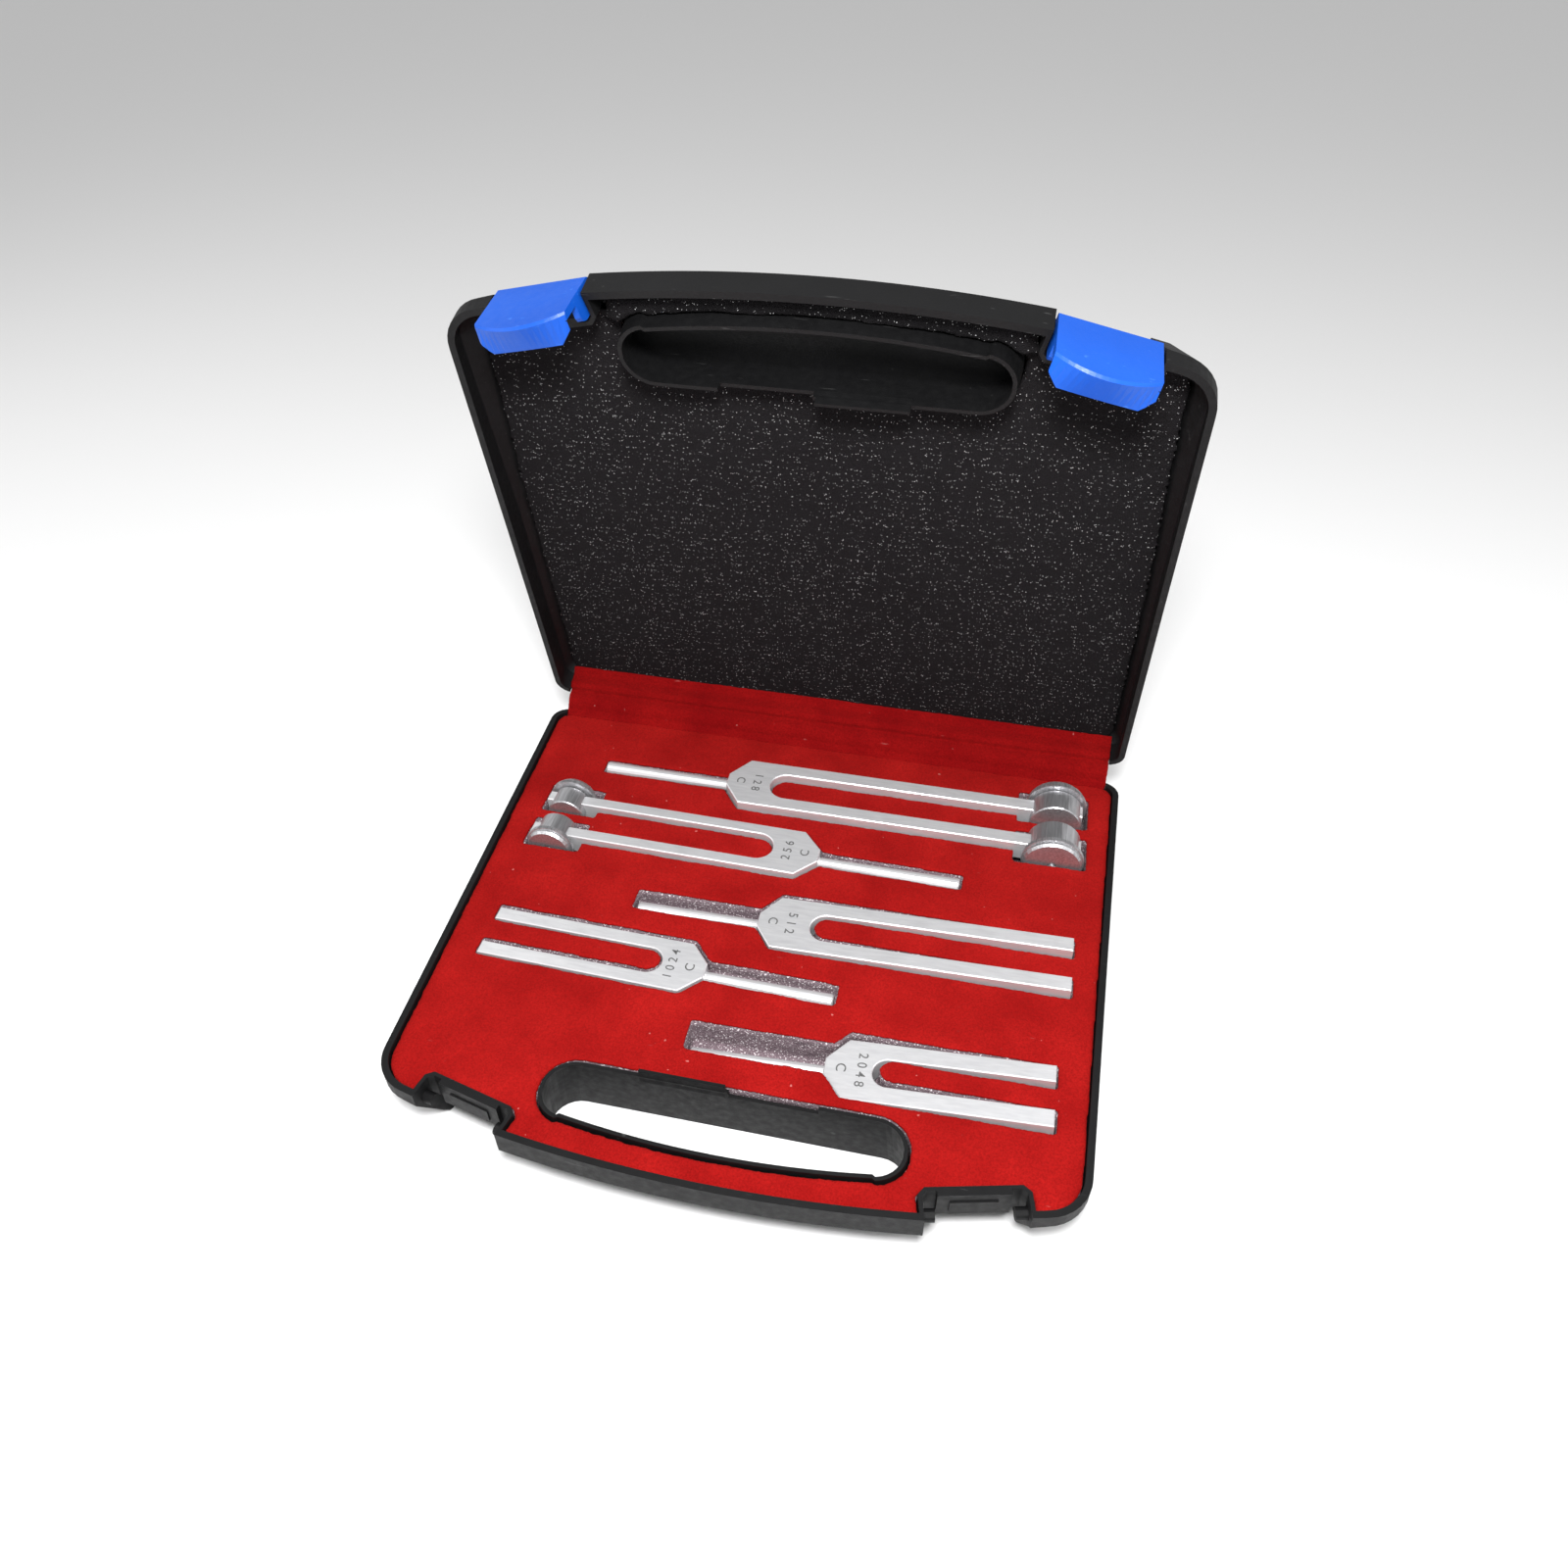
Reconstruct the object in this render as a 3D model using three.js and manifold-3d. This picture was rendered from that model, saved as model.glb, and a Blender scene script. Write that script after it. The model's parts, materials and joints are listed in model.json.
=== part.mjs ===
// A set of five tuning forks in a hinged carry case, lid open. Millimetres, +Z up.
// The origin is the centre of the case's flat underside, and the case's front faces -Y.
//
// The two case shells are the same moulding. A shell is drawn in its hinge frame: the hinge axis
// is X, the parting plane is z = 0, the shell hangs below it, and the front is towards -Y.
// Lengths called v are distances from the hinge axis towards the front.
import * as THREE from 'three';
import { mergeVertices } from 'three/addons/utils/BufferGeometryUtils.js';
import Module from 'manifold-3d';

const wasm = await Module();
wasm.setup();

// ---- Driving dimensions -------------------------------------------------------------------

// Case shells
const SHELL_DEPTH = 25;
const RIM_GAP = 0.15; // each rim stops this far short of the parting plane
const WALL = 2.2;
const THIN_WALL = 1.25; // round the handle slot and the latch notches
const FLOOR = 2;
const BAND = 9; // height of the upright band below the rim
const CORNER_BAND = 5.4; // and its height round the front corners
const FLOOR_INSET = 10.4; // how far the wall has leant in where it reaches the floor
const BACK_V = 5.5;
const BACK_HALF_WIDTH = 115;
const BACK_CORNER = 6.5;
const MIDDLE_V = 100;
const MIDDLE_HALF_WIDTH = 112;
const FRONT_CORNER = { x: 94.6, v: 175.3, r: 15 };
const LIP_V = 202.4; // the middle of the curved front lip
const LIP_HALF_WIDTH = 64;
const LIP_DROP = 4.4; // how far the lip's ends lie behind its middle
const HINGE_Y = 104; // the hinge axis, from the centre of the underside
const LID_ANGLE = 75; // opening angle, 0 when shut

// Handle slot
const SLOT = { halfWidth: 55.5, backV: 170, frontV: 190.8, frontDrop: 3.6, r: 9 };
const SLOT_FLARE = { back: 2.5, end: 2 }; // growth of the slot at the shell's floor
const LID_WEB = { depth: 14, thick: 2 }; // the lid's slot is closed by a web
const TONGUE = { from: 0.6, to: 28, thick: 1, height: 2.5, clearance: 0.3 };

// Latch notches, drawn in a frame at the middle of the notch's outer plane, y inwards
const NOTCH = { x: 78.7, v: 194.5, turn: 13.4, halfWidth: 15.1, depth: 8.8, corner: 1.4, under: 0.8 };
const CATCH = { halfWidth: 10.7, face: 7.2, height: 10.7 };
const BOSS = { halfWidth: 7, from: -8.5, to: -3.5, proud: 0.5 };
const PIVOT = { y: 4.6, z: -6.3, r: 2, length: 3.6, clearance: 0.2 };
const LATCH = { halfWidth: 14.3, top: -7.4, thick: 2.2, cheek: 1.9, reach: 8.2, rest: 5.5 };
const LATCH_FOOT = { middle: 16, end: 10.8, tipMiddle: 12.8, tipEnd: 12.4 }; // its curved lower face

// Hinge
const KNUCKLE_R = 4.5;
const KNUCKLES = [[-98, -62], [2, 38]];
const PIN = { r: 1.5, half: 98, clearance: 0.3 };
const HINGE_WALL_DROP = 3.2; // the back wall is low between the corners, for the felt
const HINGE_WALL_HALF = 110;

// Soft parts
const FIT = 0.4; // gap between a soft part and the shell
const FELT = { top: -1.5, thick: 1 };
const FOAM_TOP = -2.6;
const FOAM_BOTTOM = -22.5;
const LID_FOAM_DEPTH = 10;
const FLAP = { thick: 0.8, half: 109, r: 5.35 };
const POCKET_FIT = 0.5;
const TIP_ROOM = 0.8; // what a weight's pocket leaves beyond the tine's tip

// Forks. Lengths run from the point where the head meets the stem.
// heading is the direction of the tines, 0 along +X; tilt lifts the tine tips.
const BAR = 8; // thickness of every fork
const STEM = { neckR: 2.1, endR: 2.65, headHalf: 3 };
const FORKS = [
  {
    name: 'c128', x: -33.8, v: 34.8, top: 1.5, heading: 0, tilt: 0,
    stem: 49.2, shoulder: 6.7, slotEnd: 16.9, tip: 135.4, width: 24.2, slot: 12.8,
    slack: 0.8, slotSlack: 0, stemSlot: 6.3,
    weight: { at: 125.8, r: 9.65, from: 3.4, to: 13.2, headR: 11.15, headTo: 17.6, boreR: 3.3, room: 3 },
  },
  {
    name: 'c256', x: 8.5, v: 67.2, top: 0.5, heading: 179.1, tilt: 0,
    stem: 51.5, shoulder: 7.2, slotEnd: 17.2, tip: 107.7, width: 21.6, slot: 12.4,
    slack: 0.8, slotSlack: 0, stemSlot: 6.3,
    weight: { at: 99.5, r: 7, from: 3, to: 11.6, headR: 8.75, headTo: 15.4, boreR: 2.8, room: 3 },
  },
  {
    name: 'c512', x: -6.5, v: 99.7, top: -1.2, heading: 0, tilt: 1.7,
    stem: 44, shoulder: 6.2, slotEnd: 18.4, tip: 107.3, width: 22.6, slot: 11.2,
    slack: 1.6, slotSlack: 0.5, stemSlot: 7.3,
  },
  {
    name: 'c1024', x: -18.9, v: 125.35, top: -1.2, heading: 178.5, tilt: 0,
    stem: 43.9, shoulder: 6.7, slotEnd: 15.2, tip: 77.9, width: 20.4, slot: 10.3,
    slack: 1.2, slotSlack: 0, stemSlot: 7.3,
  },
  {
    name: 'c2048', x: 27, v: 151.9, top: -3.5, heading: 0.7, tilt: 4,
    stem: 44, shoulder: 6.6, slotEnd: 15.2, tip: 71, width: 21.65, slot: 9.75,
    slack: 1.4, slotSlack: 1.2, stemSlot: 7.3, stemRoom: 2.4,
  },
];

// ---- Geometry helpers ---------------------------------------------------------------------

const radians = THREE.MathUtils.degToRad;

// Turns a closed geometry into a solid that can be joined and cut.
function solid(geometry) {
  const bare = geometry.clone();
  bare.deleteAttribute('normal');
  bare.deleteAttribute('uv');
  const merged = mergeVertices(bare, 1e-4);
  return new wasm.Manifold(new wasm.Mesh({
    numProp: 3,
    vertProperties: merged.attributes.position.array,
    triVerts: Uint32Array.from(merged.index.array),
  }));
}

// Turns a solid back into a geometry.
function geometryOf(body) {
  const mesh = body.getMesh();
  const geometry = new THREE.BufferGeometry();
  geometry.setAttribute('position', new THREE.BufferAttribute(mesh.vertProperties, 3));
  geometry.setIndex(new THREE.BufferAttribute(mesh.triVerts, 1));
  geometry.computeVertexNormals();
  return geometry;
}

function placed(body, matrix) {
  return solid(geometryOf(body).applyMatrix4(matrix));
}

function join(bodies) {
  return bodies.reduce((whole, body) => whole.add(body));
}

function box(x0, x1, y0, y1, z0, z1) {
  const geometry = new THREE.BoxGeometry(x1 - x0, y1 - y0, z1 - z0);
  return solid(geometry.translate((x0 + x1) / 2, (y0 + y1) / 2, (z0 + z1) / 2));
}

// A rod along X.
function rod(r, x0, x1, y, z, sides = 24) {
  const geometry = new THREE.CylinderGeometry(r, r, x1 - x0, sides);
  return solid(geometry.rotateZ(Math.PI / 2).translate((x0 + x1) / 2, y, z));
}

// A solid of revolution about Y from a profile of [radius, y] pairs that starts and ends on the axis.
function turned(profile, sides) {
  return solid(new THREE.LatheGeometry(profile.map(([r, y]) => new THREE.Vector2(r, y)), sides));
}

function prism(outline, bottom, top) {
  const geometry = new THREE.ExtrudeGeometry(new THREE.Shape(outline), {
    depth: top - bottom,
    bevelEnabled: false,
  });
  return solid(geometry.translate(0, 0, bottom));
}

// A bar along X whose section is a list of [y, z] pairs.
function barAlongX(section, x0, x1) {
  const outline = section.map(([y, z]) => new THREE.Vector2(y, z));
  const geometry = new THREE.ExtrudeGeometry(new THREE.Shape(outline), {
    depth: x1 - x0,
    bevelEnabled: false,
  });
  const basis = new THREE.Matrix4().makeBasis(
    new THREE.Vector3(0, 1, 0), new THREE.Vector3(0, 0, 1), new THREE.Vector3(1, 0, 0));
  return solid(geometry.translate(0, 0, x0).applyMatrix4(basis));
}

// A closed solid through a stack of outlines with equal numbers of points, lowest first.
// A height is a number, or a function of the outline's point.
function loft(sections) {
  const count = sections[0].outline.length;
  const positions = [];
  const index = [];
  for (const { outline, z } of sections) {
    outline.forEach((p) => positions.push(p.x, p.y, typeof z === 'number' ? z : z(p)));
  }
  for (let k = 0; k < sections.length - 1; k++) {
    for (let i = 0; i < count; i++) {
      const a = k * count + i;
      const b = k * count + ((i + 1) % count);
      index.push(a, b, b + count, a, b + count, a + count);
    }
  }
  const last = (sections.length - 1) * count;
  for (const [a, b, c] of THREE.ShapeUtils.triangulateShape(sections[0].outline, [])) {
    index.push(c, b, a);
  }
  for (const [a, b, c] of THREE.ShapeUtils.triangulateShape(sections.at(-1).outline, [])) {
    index.push(last + a, last + b, last + c);
  }
  const geometry = new THREE.BufferGeometry();
  geometry.setAttribute('position', new THREE.Float32BufferAttribute(positions, 3));
  geometry.setIndex(index);
  return solid(geometry);
}

// Points of an arc in the (x, v) plane, angles from +X towards +v.
function arc(x, v, r, from, to, steps) {
  const points = [];
  for (let i = 0; i <= steps; i++) {
    const angle = radians(from + ((to - from) * i) / steps);
    points.push([x + r * Math.cos(angle), v + r * Math.sin(angle)]);
  }
  return points;
}

// Mirrors the right half of an (x, v) outline and gives it in plan, anticlockwise.
function symmetricOutline(rightHalf) {
  const left = rightHalf.filter(([x]) => x > 0).map(([x, v]) => [-x, v]).reverse();
  return [...rightHalf, ...left].map(([x, v]) => new THREE.Vector2(x, -v)).reverse();
}

// ---- Case shells --------------------------------------------------------------------------

// The shell's plan, moved inwards. backInset is the inset of the hinge side.
function shellOutline(inset, backInset = inset) {
  const back = BACK_V + backInset;
  const side = BACK_HALF_WIDTH - inset;
  const cornerR = Math.max(BACK_CORNER - inset, 1.2);
  const lip = [];
  for (let i = 12; i >= 0; i--) {
    const x = (LIP_HALF_WIDTH * i) / 12;
    lip.push([x, LIP_V - inset - LIP_DROP * (x / LIP_HALF_WIDTH) ** 2]);
  }
  return symmetricOutline([
    [0, back],
    ...arc(side - cornerR, back + cornerR, cornerR, -90, 0, 5),
    [MIDDLE_HALF_WIDTH - inset, MIDDLE_V],
    ...arc(FRONT_CORNER.x, FRONT_CORNER.v, FRONT_CORNER.r - inset, 0, 90 - NOTCH.turn, 8),
    ...lip,
  ]);
}

const FLOOR_TOP = FLOOR - SHELL_DEPTH;
const LEAN = FLOOR_INSET / (-FLOOR_TOP - BAND);
const SLOPED_WALL = WALL * Math.hypot(1, LEAN); // the wall's thickness in plan, where it leans

// The foot of the upright band, raised by lift. The band is lower round the front corners.
function bandFoot(lift) {
  return (p) => {
    const onCorner = Math.abs(p.x) > FRONT_CORNER.x && -p.y > FRONT_CORNER.v - 1;
    return lift - (onCorner ? CORNER_BAND : BAND);
  };
}

// The handle slot's plan. flare is 0 at the rim and 1 at the floor.
function slotOutline(grow, flare) {
  const end = SLOT.halfWidth + SLOT_FLARE.end * flare;
  const back = SLOT.backV - SLOT_FLARE.back * flare - grow;
  const centreX = end - SLOT.r;
  const r = SLOT.r + grow;
  const front = [];
  for (let i = 8; i >= 0; i--) {
    const x = ((centreX + 1) * i) / 8;
    front.push([x, SLOT.frontV + grow - SLOT.frontDrop * (x / (centreX + 1)) ** 2]);
  }
  return symmetricOutline([
    [0, back],
    ...arc(centreX, SLOT.backV - SLOT_FLARE.back * flare + SLOT.r, r, -90, -10, 6),
    ...arc(centreX, SLOT.backV + SLOT.r, r, 10, 78, 6),
    ...front,
  ]);
}

// The handle slot as a solid between two heights, larger all round by grow.
function slotSolid(grow, bottom, top) {
  return loft([bottom, top].map((z) => ({
    outline: slotOutline(grow, -z / SHELL_DEPTH),
    z,
  })));
}

// Places a solid drawn in the notch frame on the right (side = 1) or the left (side = -1).
function notchMatrix(side) {
  return new THREE.Matrix4()
    .makeTranslation(side * NOTCH.x, -NOTCH.v, 0)
    .multiply(new THREE.Matrix4().makeRotationZ(side * radians(NOTCH.turn)));
}

// The notch's void, larger by grow. Below the catch plate it runs back under the shell.
function notchVoid(grow) {
  const back = NOTCH.depth + grow;
  const slant = Math.hypot(1, NOTCH.under);
  const under = -CATCH.height + (grow * (slant - 1)) / NOTCH.under;
  const low = -SHELL_DEPTH - 0.5;
  const half = NOTCH.halfWidth + grow;
  const corner = NOTCH.corner + grow * (2 - Math.SQRT2);
  const lowBack = back + (under - low) * NOTCH.under;
  const section = [[-12, 1], [-12, low], [lowBack, low], [back, under], [back, 1]];
  const cornerFill = (side) => prism([
    new THREE.Vector2(side * (half + 0.1), back - corner - 0.1),
    new THREE.Vector2(side * (half + 0.1), back + 0.1),
    new THREE.Vector2(side * (half - corner - 0.1), back + 0.1),
  ], under, 2);
  return barAlongX(section, -half, half).subtract(cornerFill(1)).subtract(cornerFill(-1));
}

// The catch plate with its raised boss, and the two stubs that a latch turns on.
function notchFittings() {
  const plate = box(-CATCH.halfWidth, CATCH.halfWidth, CATCH.face, NOTCH.depth + 0.5,
    -CATCH.height, -RIM_GAP);
  const boss = box(-BOSS.halfWidth, BOSS.halfWidth, CATCH.face - BOSS.proud, CATCH.face + 0.5,
    BOSS.from, BOSS.to);
  const stubEnd = NOTCH.halfWidth - PIVOT.length;
  const stubRoot = NOTCH.halfWidth + 1;
  return join([
    plate,
    boss,
    rod(PIVOT.r, stubEnd, stubRoot, PIVOT.y, PIVOT.z, 16),
    rod(PIVOT.r, -stubRoot, -stubEnd, PIVOT.y, PIVOT.z, 16),
  ]);
}

function notchPair(body) {
  return placed(body, notchMatrix(1)).add(placed(body, notchMatrix(-1)));
}

// One shell half. The lid's handle slot is closed by a web, the base's is open.
function shell(slotHasWeb) {
  const outer = loft([
    { outline: shellOutline(FLOOR_INSET + 2), z: -SHELL_DEPTH },
    { outline: shellOutline(FLOOR_INSET + 0.7), z: -24.2 },
    { outline: shellOutline(FLOOR_INSET), z: FLOOR_TOP },
    { outline: shellOutline(0), z: bandFoot(0) },
    { outline: shellOutline(0), z: -RIM_GAP },
  ]);
  const cavity = loft([
    { outline: shellOutline(FLOOR_INSET + SLOPED_WALL), z: FLOOR_TOP },
    { outline: shellOutline(WALL), z: bandFoot((SLOPED_WALL - WALL) / LEAN) },
    { outline: shellOutline(WALL), z: 1 },
  ]);
  const hollow = cavity
    .subtract(slotSolid(THIN_WALL, -SHELL_DEPTH - 1, 2))
    .subtract(notchPair(notchVoid(THIN_WALL)));
  const lowWall = box(-HINGE_WALL_HALF, HINGE_WALL_HALF, -BACK_V - 3.2, -BACK_V + 1,
    -HINGE_WALL_DROP, 1);
  const tongueV = SLOT.backV - 0.1;
  const tongue = box(-TONGUE.to, -TONGUE.from, -tongueV, -tongueV + TONGUE.thick,
    -3, TONGUE.height);
  const tongueSeat = box(TONGUE.from - TONGUE.clearance, TONGUE.to + TONGUE.clearance,
    -SLOT.backV - 0.5, -SLOT.backV + THIN_WALL + 0.5, -TONGUE.height - TONGUE.clearance, 1);
  let body = outer.subtract(hollow).subtract(notchPair(notchVoid(0)));
  if (slotHasWeb) {
    body = body
      .subtract(slotSolid(0, -LID_WEB.depth, 1))
      .subtract(slotSolid(0, -SHELL_DEPTH - 1, -LID_WEB.depth - LID_WEB.thick));
  } else {
    body = body.subtract(slotSolid(0, -SHELL_DEPTH - 1, 1));
  }
  body = body
    .add(notchPair(notchFittings()))
    .subtract(lowWall)
    .subtract(tongueSeat)
    .add(tongue);
  for (const [from, to] of KNUCKLES) {
    body = body
      .add(rod(KNUCKLE_R, from, to, 0, 0))
      .add(box(from, to, -BACK_V - 1, -1.5, -6.5, -HINGE_WALL_DROP))
      .subtract(rod(PIN.r + PIN.clearance, from - 1, to + 1, 0, 0, 16));
  }
  return body;
}

// A snap latch in the notch frame, shut: outer plate with a curved foot, hook, and two side cheeks.
function latch() {
  const { halfWidth, top, thick, cheek, reach } = LATCH;
  const hookTop = CATCH.height + 0.4;
  // The outline across the latch, with its height drawn along Y, and its foot bowed.
  const across = (middle, end, upper) => {
    const outline = [];
    for (let i = 0; i <= 16; i++) {
      const along = i / 8 - 1;
      outline.push(new THREE.Vector2(halfWidth * along, end + (middle - end) * (1 - along * along)));
    }
    outline.push(new THREE.Vector2(halfWidth, upper), new THREE.Vector2(-halfWidth, upper));
    return outline.reverse();
  };
  const { middle, end, tipMiddle, tipEnd } = LATCH_FOOT;
  const block = loft([
    { outline: across(tipMiddle, tipEnd, top), z: -reach },
    { outline: across(middle - 0.5, end - 0.1, top - 1), z: -0.7 },
    { outline: across(middle - 1.2, end - 0.6, top), z: 0 },
  ]);
  const stand = new THREE.Matrix4().makeRotationX(Math.PI / 2);
  const behind = box(-halfWidth - 1, halfWidth + 1, thick, reach + 1, top - 3, hookTop);
  const hookCorner = (side) => prism([
    new THREE.Vector2(side * (halfWidth + 0.1), reach - 3.4),
    new THREE.Vector2(side * (halfWidth + 0.1), reach + 0.1),
    new THREE.Vector2(side * (halfWidth - 3.4), reach + 0.1),
  ], hookTop - 1, middle);
  const cheekSection = [
    [thick - 0.5, top - 0.5], [3, -9.2], [4.6, -9.7], [7, -8.7], [8, -6.3], [8, 1.2], [7.3, 2.9],
    [6, 3.6], [thick - 0.5, 3.6],
  ];
  const cheekInner = halfWidth - cheek;
  const cheeks = barAlongX(cheekSection, cheekInner, halfWidth)
    .add(barAlongX(cheekSection, -halfWidth, -cheekInner));
  const bore = rod(PIVOT.r + PIVOT.clearance, -halfWidth - 1, halfWidth + 1, PIVOT.y, PIVOT.z, 16);
  return placed(block, stand)
    .subtract(behind)
    .subtract(hookCorner(1))
    .subtract(hookCorner(-1))
    .add(cheeks)
    .subtract(bore);
}

// ---- Forks --------------------------------------------------------------------------------

// A fork's plan, tines towards +X, moved outwards by grow. slotSlack shortens the gap's land.
function forkOutline(fork, grow = 0, slotSlack = 0) {
  const half = fork.width / 2 + grow;
  const slotHalf = fork.slot / 2 - grow;
  const slotCentre = fork.slotEnd + fork.slot / 2 + slotSlack;
  const head = STEM.headHalf + grow * 0.6;
  const tip = fork.tip + grow;
  const shape = new THREE.Shape();
  shape.moveTo(-grow, -head);
  shape.lineTo(fork.shoulder - grow * 0.5, -half);
  shape.lineTo(tip, -half);
  shape.lineTo(tip, -slotHalf);
  shape.absarc(slotCentre, 0, slotHalf, -Math.PI / 2, Math.PI / 2, true);
  shape.lineTo(tip, slotHalf);
  shape.lineTo(tip, half);
  shape.lineTo(fork.shoulder - grow * 0.5, half);
  shape.lineTo(-grow, head);
  return shape;
}

// A fork about its stem's axis: flat head and tines with eased edges, and a round stem.
function forkSolid(fork) {
  const ease = 0.35;
  const head = new THREE.ExtrudeGeometry(forkOutline(fork), {
    depth: BAR - 2 * ease,
    bevelThickness: ease,
    bevelSize: ease,
    bevelOffset: -ease,
    bevelSegments: 1,
    curveSegments: 12,
  }).translate(0, 0, ease - BAR / 2);
  const neck = 1.5; // the stem starts this far inside the head
  const stem = turned([
    [0, -neck], [STEM.neckR, -neck], [STEM.neckR, 3], [STEM.endR, fork.stem - 0.5],
    [STEM.endR - 0.4, fork.stem], [0, fork.stem],
  ], 16);
  return solid(head).add(placed(stem, new THREE.Matrix4().makeRotationZ(Math.PI / 2)));
}

// A tuning weight around one tine, on the side of +Y, its axis along Y.
function weightSolid(fork) {
  const { at, r, from, to, boreR } = fork.weight;
  const ease = 0.4;
  const tineIn = fork.slot / 2 - 0.25;
  const tineOut = fork.width / 2 + 0.25;
  const body = turned([
    [0, from], [r - ease, from], [r, from + ease], [r, to - ease], [r - ease, to], [0, to],
  ], 32);
  const channel = box(-r - 1, r + 1, tineIn, tineOut, -BAR / 2 - 0.25, BAR / 2 + 0.25);
  const bore = turned([[0, tineOut - 0.5], [boreR, tineOut - 0.5], [boreR, to + 1], [0, to + 1]], 16);
  return placed(body.subtract(channel).subtract(bore), new THREE.Matrix4().makeTranslation(at, 0, 0));
}

// The knurled clamp screw of a weight: shank, toothed flange, smooth outer rim, centre hole.
function screwSolid(fork) {
  const { at, to, headR, headTo, boreR } = fork.weight;
  const headFrom = to + 0.3;
  const thick = headTo - headFrom;
  const toothedTo = headFrom + thick * 0.45;
  const smoothR = headR - 0.4;
  const holeR = 1.75;
  const body = turned([
    [0, fork.width / 2 + 0.5], [boreR - 0.3, fork.width / 2 + 0.5], [boreR - 0.3, headFrom],
    [smoothR, headFrom], [smoothR, headTo - 1], [smoothR - 0.7, headTo],
    [holeR, headTo], [holeR, headFrom + thick * 0.5], [0, headFrom + thick * 0.5],
  ], 28);
  const teeth = 28;
  const ring = [];
  for (let i = 0; i < teeth * 2; i++) {
    const angle = (Math.PI * i) / teeth;
    const radius = i % 2 ? headR - 0.35 : headR;
    ring.push(new THREE.Vector2(radius * Math.cos(angle), radius * Math.sin(angle)));
  }
  const upright = new THREE.Matrix4().makeRotationX(-Math.PI / 2);
  const knurl = placed(prism(ring, headFrom, toothedTo), upright);
  return placed(body.add(knurl), new THREE.Matrix4().makeTranslation(at, 0, 0));
}

// ---- Foam and felt ------------------------------------------------------------------------

function forkPlanMatrix(fork) {
  return new THREE.Matrix4()
    .makeTranslation(fork.x, -fork.v, 0)
    .multiply(new THREE.Matrix4().makeRotationZ(radians(fork.heading)));
}

// The pocket that a fork lies in, cut from above. slack widens it towards the hinge, and stemRoom
// widens the stem's part further.
function pocket(fork) {
  const drop = Math.sin(radians(fork.tilt));
  const headFloor = fork.top - BAR - POCKET_FIT;
  const stemFloor = fork.top - BAR / 2 - STEM.endR - fork.stem * drop - POCKET_FIT;
  const outline = forkOutline(fork, POCKET_FIT, fork.slotSlack);
  const stemHalf = fork.stemSlot / 2;
  const stemEnd = -fork.stem - 1;
  const parts = [
    prism(outline.getPoints(8), headFloor, 5),
    box(stemEnd, 4, -stemHalf, stemHalf + (fork.stemRoom ?? 0), stemFloor, 5),
  ];
  if (fork.weight) {
    const { at, r, from, to, headR, headTo, room } = fork.weight;
    const floor = fork.top - BAR / 2 - headR - POCKET_FIT;
    for (const side of [1, -1]) {
      const [y0, y1] = [side * (from - 0.5), side * (headTo + 0.6)].sort((a, b) => a - b);
      parts.push(box(at - headR - room, at + headR + TIP_ROOM, y0, y1, floor, 5));
    }
  }
  const lying = placed(join(parts), forkPlanMatrix(fork));
  const shifted = placed(lying, new THREE.Matrix4().makeTranslation(0, fork.slack, 0));
  return lying.add(shifted);
}

const allPockets = join(FORKS.map(pocket));

// The hole in the insert for the handle slot's wall, set back from it on the hinge side.
function slotClearance() {
  const close = slotSolid(THIN_WALL + 0.5, -SHELL_DEPTH, 3);
  return close.add(placed(close, new THREE.Matrix4().makeTranslation(0, 1, 0)));
}

function foamBody(topInset, topBackInset, top) {
  const sections = [
    { outline: shellOutline(FLOOR_INSET + SLOPED_WALL + FIT), z: FOAM_BOTTOM },
    { outline: shellOutline(topInset, topBackInset), z: bandFoot(0.6) },
    { outline: shellOutline(topInset, topBackInset), z: 1 },
  ];
  return loft(sections)
    .subtract(box(-200, 200, -300, 100, top, 10))
    .subtract(notchPair(notchVoid(THIN_WALL + FIT)))
    .subtract(slotClearance());
}

const baseFoam = () => foamBody(WALL + FIT, WALL + FIT, FOAM_TOP).subtract(allPockets);

function feltLining() {
  const inset = WALL + 0.3;
  const outline = shellOutline(inset);
  const overWall = box(-HINGE_WALL_HALF + 0.5, HINGE_WALL_HALF - 0.5, -BACK_V - 4, -BACK_V - 1.2,
    FELT.top - FELT.thick, FELT.top);
  return prism(outline, FELT.top - FELT.thick, FELT.top)
    .add(overWall)
    .subtract(notchPair(notchVoid(THIN_WALL + 0.3)))
    .subtract(slotClearance())
    .subtract(allPockets);
}

const lidFoam = () => foamBody(3.5, 4.7, -LID_FOAM_DEPTH);

// A point of the opened lid, in the hinge frame: v from the hinge, d below the lid's rim.
function lidPoint(v, d) {
  const angle = radians(LID_ANGLE);
  return [
    -v * Math.cos(angle) + d * Math.sin(angle),
    v * Math.sin(angle) + d * Math.cos(angle),
  ];
}

// The felt over the hinge: from the base's lining, round the knuckles, down inside the lid's wall.
function hingeFlap() {
  const path = [[-6.4, -2]];
  const from = 200;
  const to = 180 - LID_ANGLE - 20;
  for (let i = 0; i <= 12; i++) {
    const angle = radians(from + ((to - from) * i) / 12);
    path.push([FLAP.r * Math.cos(angle), FLAP.r * Math.sin(angle)]);
  }
  path.push(lidPoint(7.2, 2), lidPoint(8.35, 3.2), lidPoint(8.35, 7.5), lidPoint(10.25, 10.2));
  const left = [];
  const right = [];
  path.forEach(([y, z], i) => {
    const before = path[Math.max(i - 1, 0)];
    const after = path[Math.min(i + 1, path.length - 1)];
    const along = new THREE.Vector2(after[0] - before[0], after[1] - before[1]).normalize();
    const out = [-along.y * FLAP.thick / 2, along.x * FLAP.thick / 2];
    left.push([y + out[0], z + out[1]]);
    right.push([y - out[0], z - out[1]]);
  });
  return barAlongX([...right, ...left.reverse()], -FLAP.half, FLAP.half);
}

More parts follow.
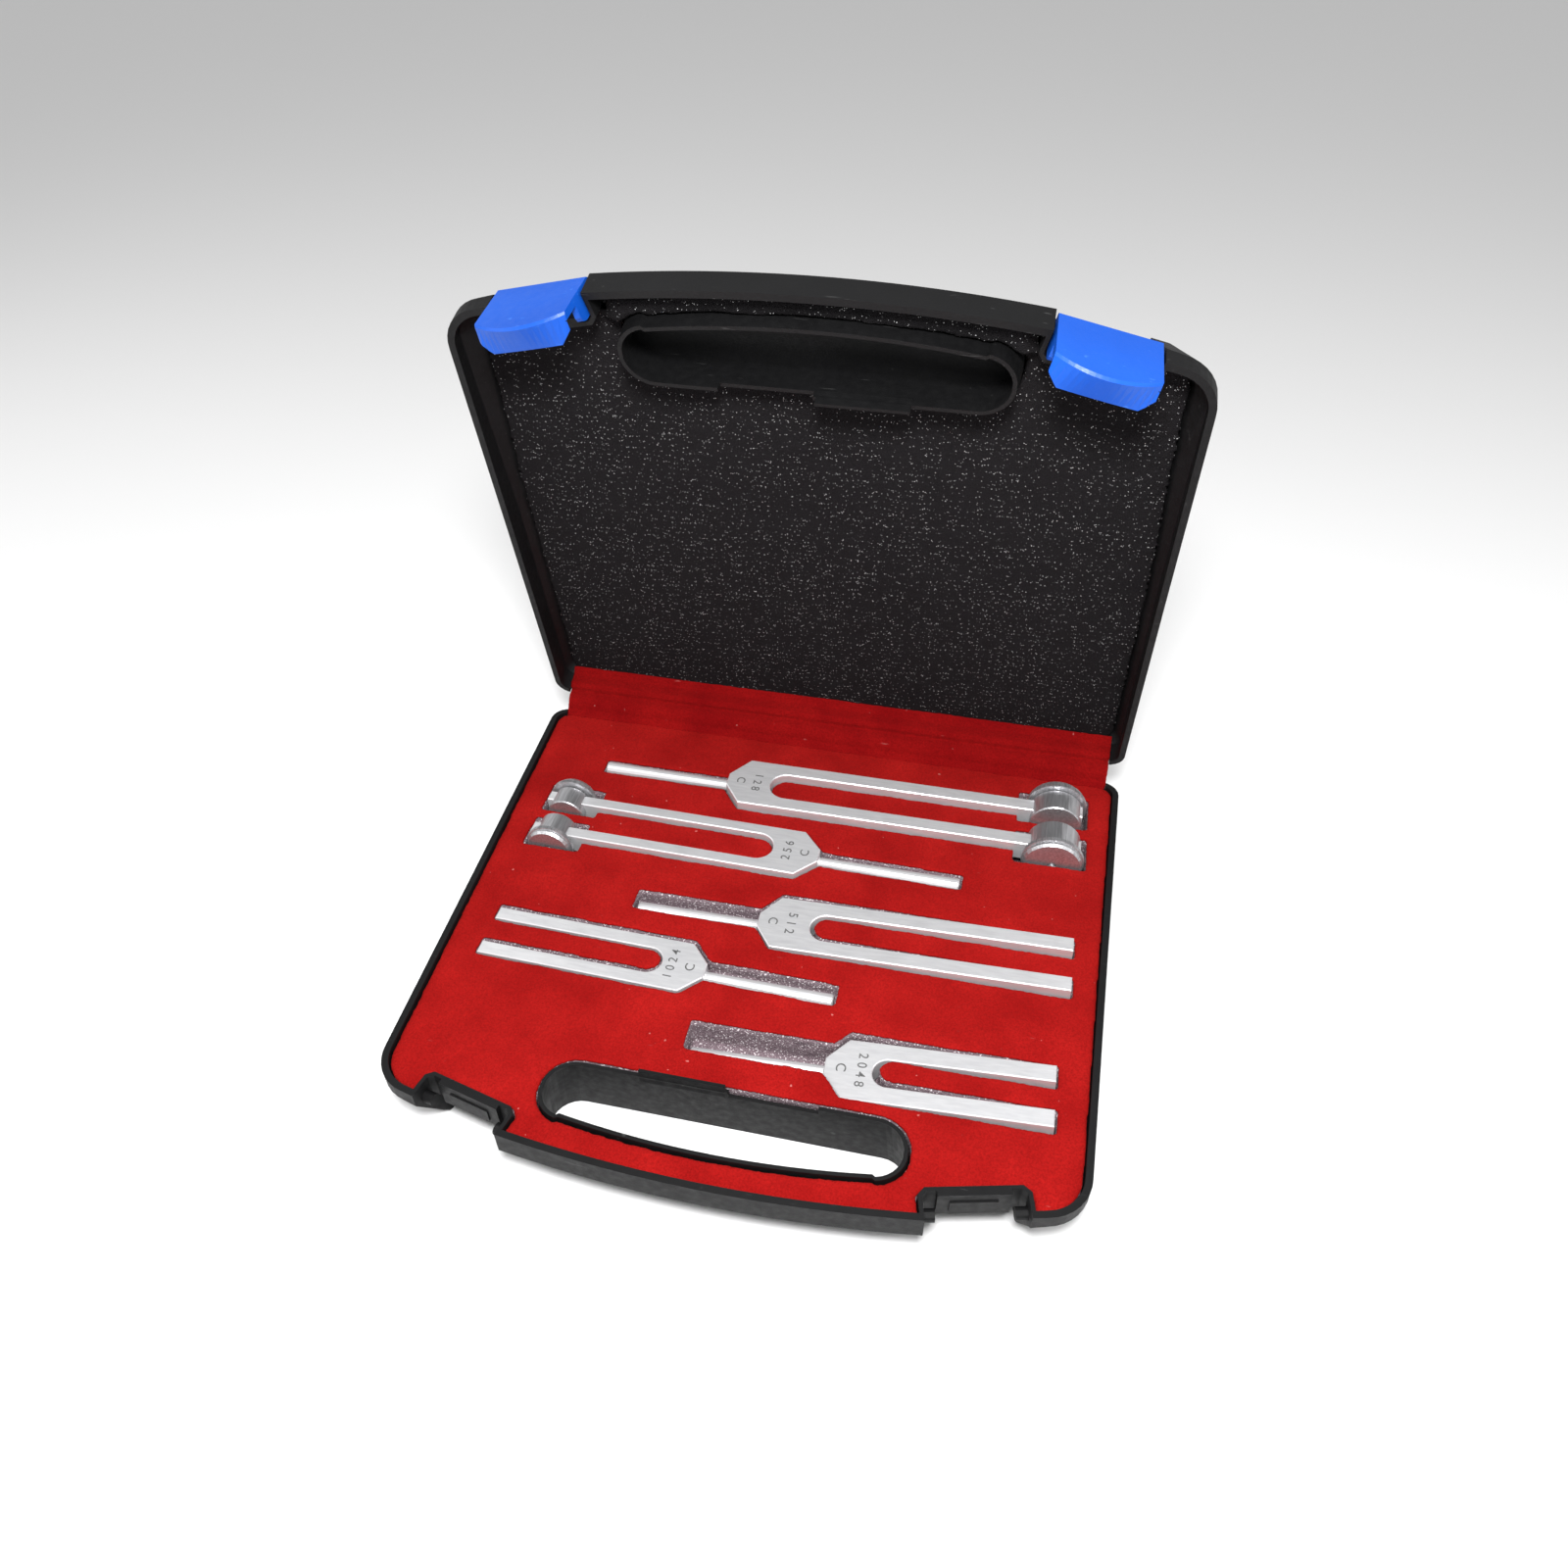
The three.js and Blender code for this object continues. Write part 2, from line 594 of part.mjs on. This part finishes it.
// ---- Materials ----------------------------------------------------------------------------

function material(color, roughness, metalness = 0) {
  return new THREE.MeshStandardMaterial({ color, roughness, metalness });
}

const plastic = () => material(0x1c1c1e, 0.45);
const blue = () => material(0x2a69e6, 0.35);
const steel = () => material(0x9a9ca0, 0.35, 1);
const aluminium = () => material(0xc4c6ca, 0.35, 1);
const turnedMetal = () => material(0xa9abb0, 0.3, 1);
const greyFoam = () => material(0x8c7880, 0.95);
const charcoalFoam = () => material(0x262426, 0.95);
const felt = () => material(0xb81c1a, 0.95);

// ---- Assembly -----------------------------------------------------------------------------

function mesh(name, body, look) {
  const part = new THREE.Mesh(geometryOf(body), look);
  part.name = name;
  return part;
}

function buildCase() {
  const base = new THREE.Group();
  base.position.set(0, HINGE_Y, SHELL_DEPTH);
  base.add(
    mesh('base_shell', shell(false), plastic()),
    mesh('hinge_pin', rod(PIN.r, -PIN.half, PIN.half, 0, 0, 16), steel()),
    mesh('base_foam', baseFoam(), greyFoam()),
    mesh('felt_lining', feltLining(), felt()),
    mesh('felt_hinge_flap', hingeFlap(), felt()),
  );
  const lid = new THREE.Group();
  lid.position.copy(base.position);
  lid.rotation.x = -radians(LID_ANGLE);
  const turnedOver = new THREE.Group();
  turnedOver.rotation.y = Math.PI;
  turnedOver.add(
    mesh('lid_shell', shell(true), plastic()),
    mesh('lid_foam', lidFoam(), charcoalFoam()),
    latchGroup('latch_left', 1),
    latchGroup('latch_right', -1),
  );
  lid.add(turnedOver);
  return [base, lid];
}

// A latch in its notch, swung out about its pivot to its rest angle.
function latchGroup(name, side) {
  const notch = new THREE.Group();
  notch.position.set(side * NOTCH.x, -NOTCH.v, 0);
  notch.rotation.z = side * radians(NOTCH.turn);
  const swing = new THREE.Group();
  swing.position.set(0, PIVOT.y, PIVOT.z);
  swing.rotation.x = radians(LATCH.rest);
  const piece = mesh(name, latch(), blue());
  piece.position.set(0, -PIVOT.y, -PIVOT.z);
  swing.add(piece);
  notch.add(swing);
  return notch;
}

// A fork lying in its pocket, with the weights on its two tines if it has them.
function buildFork(fork) {
  const group = new THREE.Group();
  group.position.set(fork.x, HINGE_Y - fork.v, SHELL_DEPTH + fork.top - BAR / 2);
  group.rotation.set(0, -radians(fork.tilt), radians(fork.heading), 'ZYX');
  group.add(mesh(`fork_${fork.name}`, forkSolid(fork), aluminium()));
  if (fork.weight) {
    const backSide = Math.abs(fork.heading) < 90 ? 'back' : 'front';
    const frontSide = backSide === 'back' ? 'front' : 'back';
    const flipped = new THREE.Matrix4().makeRotationX(Math.PI);
    const weight = weightSolid(fork);
    const screw = screwSolid(fork);
    group.add(
      mesh(`${fork.name}_weight_${backSide}`, weight, turnedMetal()),
      mesh(`${fork.name}_clamp_screw_${backSide}`, screw, turnedMetal()),
      mesh(`${fork.name}_weight_${frontSide}`, placed(weight, flipped), turnedMetal()),
      mesh(`${fork.name}_clamp_screw_${frontSide}`, placed(screw, flipped), turnedMetal()),
    );
  }
  return group;
}

const forkSet = new THREE.Group();
forkSet.add(...buildCase(), ...FORKS.map(buildFork));

export default forkSet;
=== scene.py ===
import json
import math

import bmesh
import bpy
from mathutils import Matrix, Vector, noise


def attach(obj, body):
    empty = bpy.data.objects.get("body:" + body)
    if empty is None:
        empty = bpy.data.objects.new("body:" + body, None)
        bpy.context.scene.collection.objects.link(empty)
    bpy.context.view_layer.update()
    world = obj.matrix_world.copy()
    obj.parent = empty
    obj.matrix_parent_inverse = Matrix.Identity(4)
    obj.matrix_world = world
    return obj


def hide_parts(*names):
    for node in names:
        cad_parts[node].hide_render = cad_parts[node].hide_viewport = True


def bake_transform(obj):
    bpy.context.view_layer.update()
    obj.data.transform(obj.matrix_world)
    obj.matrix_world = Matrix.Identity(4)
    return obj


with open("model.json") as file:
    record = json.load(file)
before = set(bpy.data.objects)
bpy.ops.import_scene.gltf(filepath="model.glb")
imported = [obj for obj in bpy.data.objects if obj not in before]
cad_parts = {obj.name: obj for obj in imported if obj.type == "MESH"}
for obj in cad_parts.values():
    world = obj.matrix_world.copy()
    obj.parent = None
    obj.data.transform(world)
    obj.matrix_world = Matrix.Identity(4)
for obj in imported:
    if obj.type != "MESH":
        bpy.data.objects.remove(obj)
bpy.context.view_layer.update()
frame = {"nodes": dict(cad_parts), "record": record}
nodes = frame["nodes"]
MM = 0.001

# ---- Camera and light ---------------------------------------------------------------------

CAMERA_PLACE = (0.0608, -0.25595, 0.33885)
CAMERA_RIGHT = (0.9773, 0.2119, -0.0057)
CAMERA_AHEAD = (-0.1586, 0.7132, -0.6828)
LENS_MM = 27.15
SENSOR_MM = 36
NEAREST_SEEN = 0.01
SKY_STRENGTH = 0.55

# Each light: its place, the point it faces, its width in metres and its power in watts.
LIGHTS = {
    "key": ((0.055, -0.255, 0.465), (0, 0.03, 0.06), 0.1, 3.6),
    "fill_left": ((-0.7, -0.1, 0.6), (0, 0, 0.05), 0.7, 2.5),
    "fill_right": ((0.7, 0.0, 0.6), (0, 0, 0.05), 0.7, 2.5),
}

scene = bpy.context.scene
scene.view_settings.view_transform = "Standard"

camera = bpy.data.objects.new("camera", bpy.data.cameras.new("camera"))
scene.collection.objects.link(camera)
right = Vector(CAMERA_RIGHT).normalized()
ahead = Vector(CAMERA_AHEAD).normalized()
down = ahead.cross(right).normalized()
turn = Matrix((right, -down, -ahead)).transposed().to_4x4()
camera.matrix_world = Matrix.Translation(CAMERA_PLACE) @ turn
camera.data.lens = LENS_MM
camera.data.sensor_width = SENSOR_MM
camera.data.clip_start = NEAREST_SEEN
scene.camera = camera

for name, (place, target, width, power) in LIGHTS.items():
    light = bpy.data.lights.new(name, "AREA")
    light.shape = "DISK"
    light.size = width
    light.energy = power
    lamp = bpy.data.objects.new(name, light)
    scene.collection.objects.link(lamp)
    lamp.location = place
    lamp.rotation_euler = (Vector(target) - Vector(place)).to_track_quat("-Z", "Y").to_euler()

world = bpy.data.worlds.new("studio")
world.use_nodes = True
sky = world.node_tree.nodes["Background"]
sky.inputs["Color"].default_value = (1, 1, 1, 1)
sky.inputs["Strength"].default_value = SKY_STRENGTH
scene.world = world

# ---- Materials ----------------------------------------------------------------------------


class Look:
    """A Principled material and the few node patterns that every material here is made of."""

    def __init__(self, name, roughness, metallic=0.0, **sockets):
        self.material = bpy.data.materials.new(name)
        self.material.use_nodes = True
        self.tree = self.material.node_tree
        self.shader = self.tree.nodes["Principled BSDF"]
        self.shader.inputs["Roughness"].default_value = roughness
        self.shader.inputs["Metallic"].default_value = metallic
        for key, value in sockets.items():
            self.shader.inputs[key.replace("_", " ")].default_value = value
        self.place = self.tree.nodes.new("ShaderNodeTexCoord").outputs["Object"]
        self.height = None

    def node(self, kind, **values):
        made = self.tree.nodes.new(kind)
        for key, value in values.items():
            if key in made.inputs:
                made.inputs[key].default_value = value
            else:
                setattr(made, key, value)
        return made

    def link(self, a, b):
        self.tree.links.new(a, b)

    def noise(self, per_metre, detail=2.0, rough=0.5, stretch=None):
        """Noise with features of about 1 / per_metre metres, squeezed along axes by stretch."""
        place = self.place
        if stretch:
            mapping = self.node("ShaderNodeMapping", Scale=stretch)
            self.link(place, mapping.inputs["Vector"])
            place = mapping.outputs["Vector"]
        made = self.node("ShaderNodeTexNoise", Scale=per_metre, Detail=detail, Roughness=rough)
        self.link(place, made.inputs["Vector"])
        return made.outputs["Fac"]

    def cells(self, per_metre):
        """Voronoi cells of about 1 / per_metre metres. Its outputs are Distance and Color."""
        made = self.node("ShaderNodeTexVoronoi", Scale=per_metre, feature="F1")
        self.link(self.place, made.inputs["Vector"])
        return made.outputs

    def ramp(self, value, *stops):
        """A colour ramp. Each stop is (position, colour), and a colour may be a single grey."""
        made = self.node("ShaderNodeValToRGB")
        points = made.color_ramp.elements
        while len(points) < len(stops):
            points.new(0.5)
        for point, (position, colour) in zip(points, stops):
            point.position = position
            point.color = (*((colour,) * 3 if isinstance(colour, (int, float)) else colour), 1)
        self.link(value, made.inputs["Fac"])
        return made.outputs["Color"]

    def mix(self, factor, a, b):
        """Mixes two colours. Each input is a link or a plain value."""
        made = self.node("ShaderNodeMix", data_type="RGBA")
        for socket, value in ((made.inputs[0], factor), (made.inputs[6], a), (made.inputs[7], b)):
            if isinstance(value, bpy.types.NodeSocket):
                self.link(value, socket)
            elif socket.type == "RGBA":
                socket.default_value = (*value, 1)
            else:
                socket.default_value = value
        return made.outputs[2]

    def colour(self, value):
        self.link(value, self.shader.inputs["Base Color"])

    def roughness(self, value):
        self.link(value, self.shader.inputs["Roughness"])

    def bump(self, value, depth, strength=1.0):
        """Adds a layer of bump, depth in metres between the pattern's black and white."""
        made = self.node("ShaderNodeBump", Strength=strength, Distance=depth)
        self.link(value, made.inputs["Height"])
        if self.height is not None:
            self.link(self.height, made.inputs["Normal"])
        self.height = made.outputs["Normal"]
        self.link(self.height, self.shader.inputs["Normal"])


def felt_look(name, deep, bright, lint):
    """Felt: clouded colour, short dark fibres, and specks and threads of lint."""
    look = Look(name, 0.95, Sheen_Weight=0.08, Sheen_Roughness=0.6, Sheen_Tint=(1, 0.1, 0.08, 1),
                Specular_IOR_Level=0.03)
    fibres = look.noise(1500, 4, 0.65)
    clouds = look.noise(45, 3)
    base = look.mix(look.ramp(clouds, (0.3, 0.0), (0.7, 1.0)), deep, bright)
    shadow = tuple(0.55 * c for c in deep)
    base = look.mix(look.ramp(fibres, (0.35, 0.55), (0.65, 0.0)), base, shadow)
    specks = look.ramp(look.noise(520, 1, 0.3), (0.80, 0.0), (0.83, 0.6))
    base = look.mix(specks, base, lint)
    threads = look.ramp(look.noise(130, 2, 0.4, (1, 7, 1)), (0.77, 0.0), (0.82, 0.3))
    base = look.mix(threads, base, lint)
    look.colour(base)
    look.bump(clouds, 0.0007, 0.5)
    look.bump(fibres, 0.0004, 0.8)
    return look.material


def foam_look(name, deep, bright, glint, cell, fine=None, dots=None):
    """Open foam of cell cells a metre, with glints in it.

    fine gives it small glints, and is the share of a noise pattern that stays dark. dots gives it
    round ones, picked from so many cells a metre.
    """
    look = Look(name, 0.95, Specular_IOR_Level=0.05)
    depth = look.cells(cell)["Distance"]
    # Each cell is darker towards its middle, where the bump below makes a pit: painted shade in the
    # pits.
    base = look.mix(look.ramp(depth, (0.1, 0.0), (0.6, 1.0)), deep, bright)
    base = look.mix(look.ramp(look.noise(60, 2), (0.35, 0.0), (0.75, 0.5)), base, bright)
    if dots:
        grains = look.cells(dots)
        core = look.ramp(grains["Distance"], (0.17, 1.0), (0.3, 0.0))
        chosen = look.ramp(grains["Color"], (0.67, 0.0), (0.86, 1.0))
        glints = look.mix(chosen, (0, 0, 0), core)
    else:
        glints = look.ramp(look.noise(cell * 0.75, 1, 0.2), (fine, 0.0), (fine + 0.03, 1.0))
    look.colour(look.mix(glints, base, glint))
    look.bump(depth, 0.0005, 0.7)
    look.bump(look.noise(350, 3), 0.0006, 0.5)
    return look.material


def plastic_look(name, deep, bright, scuff, roughness, coat=0.0):
    """Moulded plastic, lightly clouded, with scratches and nicks in the scuff colour."""
    look = Look(name, roughness, Coat_Weight=coat, Coat_Roughness=0.3, Specular_IOR_Level=0.22)
    base = look.mix(look.ramp(look.noise(25, 3), (0.3, 0.0), (0.7, 1.0)), deep, bright)
    scratches = look.ramp(look.noise(60, 3, 0.6, (1, 14, 14)), (0.69, 0.0), (0.74, 0.5))
    nicks = look.ramp(look.noise(260, 2, 0.5), (0.72, 0.0), (0.78, 0.5))
    base = look.mix(scratches, base, scuff)
    base = look.mix(nicks, base, scuff)
    look.colour(base)
    look.roughness(look.ramp(look.noise(400, 3), (0.3, roughness - 0.06), (0.7, roughness + 0.1)))
    look.bump(look.noise(1800, 2), 0.00006, 0.6)
    look.bump(scratches, 0.00005, 0.4)
    return look.material


def metal_look(name, deep, bright, roughness, stretch, metallic):
    """Machined metal. Its grain runs along the axis that stretch squeezes least."""
    look = Look(name, roughness, metallic)
    streaks = look.noise(900, 3, 0.6, stretch)
    clouds = look.noise(60, 3)
    base = look.mix(look.ramp(streaks, (0.3, 0.0), (0.7, 1.0)), deep, bright)
    smudge = look.ramp(clouds, (0.35, 0.0), (0.75, 0.35))
    look.colour(look.mix(smudge, base, tuple(0.8 * c for c in deep)))
    look.roughness(look.ramp(clouds, (0.3, roughness - 0.05), (0.7, roughness + 0.08)))
    look.bump(streaks, 0.00003, 0.5)
    return look.material


LOOKS = {
    "black_plastic": plastic_look(
        "black_plastic", deep=(0.0025, 0.0025, 0.0028), bright=(0.005, 0.005, 0.0054),
        scuff=(0.05, 0.05, 0.05), roughness=0.55),
    "blue_plastic": plastic_look(
        "blue_plastic", deep=(0.003, 0.062, 0.38), bright=(0.005, 0.08, 0.46),
        scuff=(0.05, 0.18, 0.6), roughness=0.38, coat=0.1),
    "pin_steel": metal_look(
        "pin_steel", deep=(0.4, 0.4, 0.42), bright=(0.6, 0.6, 0.62),
        roughness=0.35, stretch=(0.1, 1, 1), metallic=1.0),
    "fork_aluminium": metal_look(
        "fork_aluminium", deep=(0.62, 0.62, 0.635), bright=(0.74, 0.74, 0.75),
        roughness=0.42, stretch=(0.15, 1, 1), metallic=0.55),
    "turned_aluminium": metal_look(
        "turned_aluminium", deep=(0.36, 0.36, 0.375), bright=(0.62, 0.62, 0.635),
        roughness=0.4, stretch=(1.6, 0.1, 1.6), metallic=0.85),
}
turned_metal = LOOKS["turned_aluminium"]
grey_foam = foam_look(
    "grey_foam", deep=(0.08, 0.058, 0.068), bright=(0.22, 0.165, 0.185),
    glint=(0.7, 0.64, 0.66), cell=2400, fine=0.64)
dark_foam = foam_look(
    "charcoal_foam", deep=(0.005, 0.0045, 0.005), bright=(0.013, 0.012, 0.013),
    glint=(0.7, 0.7, 0.7), cell=3000, dots=1700)
felt = felt_look(
    "red_felt", deep=(0.24, 0.0045, 0.0045), bright=(0.355, 0.009, 0.008), lint=(0.55, 0.2, 0.18))
# The hinge flap is the same red felt, made darker all over: painted shade.
shaded_flap_felt = felt_look(
    "red_felt_flap_painted_shade", deep=(0.17, 0.002, 0.003), bright=(0.26, 0.005, 0.005),
    lint=(0.42, 0.15, 0.14))
# The marks' dark grey is painted shade, standing in for the shade in the stamped grooves; the
# letters sit flat on the fork's face.
stamped = Look("stamped_mark_painted_shade", 0.6, 0.3)
stamped.colour(stamped.ramp(stamped.noise(2500, 2), (0.3, 0.07), (0.7, 0.16)))
stamp_shade = stamped.material

SHARP_ANGLE = math.radians(28)


def shade(obj):
    """Smooth shading, with sharp edges where faces meet at more than the sharp angle."""
    mesh = obj.data
    if "custom_normal" in mesh.attributes:
        mesh.attributes.remove(mesh.attributes["custom_normal"])
    mesh.shade_smooth()
    mesh.set_sharp_from_angle(angle=SHARP_ANGLE)


for part in frame["record"]["subparts"]:
    obj = nodes[part["node"]]
    if part["material_slot"] in LOOKS:
        obj.data.materials.clear()
        obj.data.materials.append(LOOKS[part["material_slot"]])
        shade(obj)

# ---- Soft pieces --------------------------------------------------------------------------


def copy_of(node, name):
    made = nodes[node].copy()
    made.data = nodes[node].data.copy()
    made.name = name
    made.data.name = name
    made.parent = None
    for key in list(made.keys()):
        del made[key]
    scene.collection.objects.link(made)
    return made


def soft_piece(node, name, material, body, voxel, smoothing, swell, nudge=None):
    """A soft part: the CAD solid remeshed fine, its cut edges worn round, its faces uneven.

    smoothing is how many passes it gets, and swell a list of (features per metre, metres) of noise.
    nudge moves a point so that the piece meets its neighbour.
    """
    made = copy_of(node, name)
    remesh = made.modifiers.new("remesh", "REMESH")
    remesh.mode = "VOXEL"
    remesh.voxel_size = voxel
    remesh.adaptivity = 0
    smooth = made.modifiers.new("worn edges", "SMOOTH")
    smooth.factor = 0.5
    smooth.iterations = smoothing
    mesh = bpy.data.meshes.new_from_object(
        made.evaluated_get(bpy.context.evaluated_depsgraph_get()))
    made.modifiers.clear()
    made.data = mesh
    mesh.name = name
    normals = [vertex.normal.copy() for vertex in mesh.vertices]
    for vertex, normal in zip(mesh.vertices, normals):
        push = sum(depth * noise.noise(vertex.co * scale) for scale, depth in swell)
        vertex.co += normal * push
        if nudge:
            vertex.co += nudge(vertex.co)
    mesh.materials.clear()
    mesh.materials.append(material)
    mesh.shade_smooth()
    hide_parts(node)
    if body:
        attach(made, body)
    return made


COARSE = 1
HINGE = Vector((0, 0.104, 0.025))
LID_ANGLE = math.radians(75)
# Along the lid, away from the hinge, and into the lid, square to its rim.
LID_OUT = Vector((0, -math.cos(LID_ANGLE), math.sin(LID_ANGLE)))
LID_IN = Vector((0, math.sin(LID_ANGLE), math.cos(LID_ANGLE)))

LINING_REACH = 0.0008  # how far the lining's back edge goes to meet the hinge's felt
FLAP_SPREAD = 0.009  # the share by which the flap is wider than its solid
FLAP_FOOT = Vector((0, -0.0014, 0.0004))  # the move of its lower edge, onto the lining
FLAP_HEAD = 0.0006  # the move of its upper edge, along the lid
PAD_REACH = -0.0012  # the move of the lid pad's edge at the hinge, along the lid
STRIP_LIFT = 0.0055  # how far the strip in front of the handle recess stands up to the rim
STRIP_BEND = 3.6e-3  # how far the strip's edge bends, at STRIP_BEND_AT from the middle
STRIP_BEND_AT = 0.0465


def step(value, start, end):
    """0 before start, 1 after end, smooth between them."""
    share = min(max((value - start) / (end - start), 0), 1)
    return share * share * (3 - 2 * share)


def lining_nudge(co):
    """Brings the lining's back edge up to the hinge's felt."""
    return Vector((0, LINING_REACH * step(co.y, 0.0930, 0.0970), 0))


def flap_nudge(co):
    """Spreads the flap to the side walls, and brings its edges up to the lining and the lid pad."""
    foot = step(-co.z, -0.0262, -0.0236)
    head = step((co - HINGE).dot(LID_IN), 0.0075, 0.0100)
    return Vector((co.x * FLAP_SPREAD, 0, 0)) + FLAP_FOOT * foot + LID_OUT * FLAP_HEAD * head


def lid_pad_nudge(co):
    """Closes the pad up to the hinge's felt, and lifts its strip in front of the handle recess."""
    along = (co - HINGE).dot(LID_OUT)
    strip = (step(along + STRIP_BEND * (co.x / STRIP_BEND_AT) ** 2, 0.1905, 0.1918)
             * step(-abs(co.x), -0.066, -0.056))
    return (LID_OUT * PAD_REACH * step(-along, -0.016, -0.0115)
            - LID_IN * STRIP_LIFT * strip)


felt_sheet = soft_piece(
    "felt_lining", "felt_sheet", felt, "case_base", voxel=0.00055 * COARSE,
    smoothing=3, swell=[(90, 0.00018), (700, 0.00016), (2200, 0.0001)], nudge=lining_nudge)
case_foam = soft_piece(
    "base_foam", "case_foam", grey_foam, "case_base", voxel=0.0009 * COARSE,
    smoothing=2, swell=[(260, 0.0003), (900, 0.00025)])
lid_pad = soft_piece(
    "lid_foam", "lid_pad", dark_foam, "case_lid", voxel=0.0009 * COARSE,
    smoothing=6, swell=[(120, 0.0003), (700, 0.00025)], nudge=lid_pad_nudge)
flap = soft_piece(
    "felt_hinge_flap", "hinge_felt", shaded_flap_felt, None, voxel=0.00045 * COARSE,
    smoothing=3, swell=[(60, 0.0002), (500, 0.00015), (1800, 0.0001)], nudge=flap_nudge)
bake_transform(flap)

# ---- Marks and knurls on the forks --------------------------------------------------------

# Each fork: its pitch, where its head meets its stem (millimetres right, and in front of the
# hinge), its top face's height over the rim, its heading and its tilt in degrees.
FORK_PLACES = {
    "c128": ("128", -33.8, 34.8, 1.5, 0, 0),
    "c256": ("256", 8.5, 67.2, 0.5, 179.1, 0),
    "c512": ("512", -6.5, 99.7, -1.2, 0, 1.7),
    "c1024": ("1024", -18.9, 125.35, -1.2, 178.5, 0),
    "c2048": ("2048", 27, 151.9, -3.5, 0.7, 4),
}
HALF_BAR = 4 * MM
PITCH_AT = 11.6  # millimetres from the stem to the middle of the pitch, and of the note
NOTE_AT = 5.2
TALL_MARK = 3.2
SHORT_MARK = 3.0
CAP_HEIGHT = 0.7  # of the typeface's size


def mark(text, height, along, fork, matrix):
    """A mark stamped across a fork's head, along millimetres from its stem."""
    curve = bpy.data.curves.new(f"mark_{fork}_{text}", "FONT")
    curve.body = text
    curve.size = height * MM / CAP_HEIGHT
    curve.align_x = "CENTER"
    curve.align_y = "CENTER"
    curve.extrude = 0.03 * MM
    curve.offset = 0.02 * MM
    curve.space_character = 1.6
    drawn = bpy.data.objects.new(curve.name, curve)
    scene.collection.objects.link(drawn)
    mesh = bpy.data.meshes.new_from_object(
        drawn.evaluated_get(bpy.context.evaluated_depsgraph_get()))
    bpy.data.objects.remove(drawn)
    made = bpy.data.objects.new(f"mark_{fork}_{text}", mesh)
    scene.collection.objects.link(made)
    mesh.transform(matrix @ Matrix.Translation((along * MM, 0, HALF_BAR + 0.01 * MM))
                   @ Matrix.Rotation(-math.pi / 2, 4, "Z"))
    # The letters take the painted shade of the stamped grooves.
    mesh.materials.clear()
    mesh.materials.append(stamp_shade)
    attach(made, f"{fork}_fork")


# Each weighted fork: the weights' place along the tines, and the knurl's radius, start and end.
KNURLS = {"c128": (125.8, 11.2, 13.6, 15.4), "c256": (99.5, 8.8, 12.0, 13.6)}
TEETH = 96
TOOTH_DEPTH = 0.2
KNURL_BASE = 0.5  # how far under the knurl's radius its ring starts
KNURL_LIP = 0.05
KNURL_CHAMFER = 0.15


def knurl(fork, side, body, matrix):
    """A ring of fine teeth round a clamp screw's head. side is +1 or -1, along the fork's Y."""
    at, radius, start, end = KNURLS[fork]
    ring = bmesh.new()
    profile = [(radius - KNURL_BASE, start, 0),
               (radius - KNURL_LIP, start + KNURL_CHAMFER, TOOTH_DEPTH),
               (radius - KNURL_LIP, end - KNURL_CHAMFER, TOOTH_DEPTH),
               (radius - KNURL_BASE, end, 0)]
    rows = []
    for i in range(TEETH * 2):
        angle = math.pi * i / TEETH
        row = []
        for inner, y, tooth in profile:
            r = inner + tooth * (i % 2)
            point = Vector((at + r * math.cos(angle), side * y, r * math.sin(angle))) * MM
            row.append(ring.verts.new(matrix @ point))
        rows.append(row)
    for row, after in zip(rows, rows[1:] + rows[:1]):
        for k in range(-1, len(row) - 1):
            ring.faces.new((row[k], row[k + 1], after[k + 1], after[k]))
    bmesh.ops.recalc_face_normals(ring, faces=ring.faces)
    mesh = bpy.data.meshes.new(f"knurl_{body}")
    ring.to_mesh(mesh)
    ring.free()
    mesh.materials.append(turned_metal)
    made = bpy.data.objects.new(mesh.name, mesh)
    scene.collection.objects.link(made)
    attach(made, body)


for fork, (digits, x, v, top, heading, tilt) in FORK_PLACES.items():
    place = (Matrix.Translation((x * MM, HINGE.y - v * MM, HINGE.z + top * MM - HALF_BAR))
             @ Matrix.Rotation(math.radians(heading), 4, "Z")
             @ Matrix.Rotation(-math.radians(tilt), 4, "Y"))
    mark(digits, TALL_MARK if len(digits) == 3 else SHORT_MARK, PITCH_AT, fork, place)
    mark("C", TALL_MARK, NOTE_AT, fork, place)
    if fork in KNURLS:
        backwards = heading > 90
        knurl(fork, 1, f"{fork}_{'front' if backwards else 'back'}_screw", place)
        knurl(fork, -1, f"{fork}_{'back' if backwards else 'front'}_screw", place)

# ---- Edges of the moulded parts -----------------------------------------------------------

# Each slot: the width of its rounded edges, their segments, and the least angle in degrees.
ROUNDED_EDGES = {"blue_plastic": (0.0006, 3, 25), "black_plastic": (0.00035, 2, 40)}

for part in frame["record"]["subparts"]:
    obj = nodes[part["node"]]
    if part["material_slot"] in ROUNDED_EDGES:
        width, segments, angle = ROUNDED_EDGES[part["material_slot"]]
        rounding = obj.modifiers.new("rounded edges", "BEVEL")
        rounding.width = width
        rounding.segments = segments
        rounding.limit_method = "ANGLE"
        rounding.angle_limit = math.radians(angle)

# ---- Floor --------------------------------------------------------------------------------

FLOOR_HALF = 3
FLOOR_GREY = 0.86

floor_mesh = bmesh.new()
bmesh.ops.create_grid(floor_mesh, x_segments=1, y_segments=1, size=FLOOR_HALF)
floor_data = bpy.data.meshes.new("floor")
floor_mesh.to_mesh(floor_data)
floor_mesh.free()
floor = bpy.data.objects.new("floor", floor_data)
scene.collection.objects.link(floor)
floor_look = Look("floor", 0.9)
floor_look.shader.inputs["Base Color"].default_value = (FLOOR_GREY, FLOOR_GREY, FLOOR_GREY, 1)
floor_data.materials.append(floor_look.material)
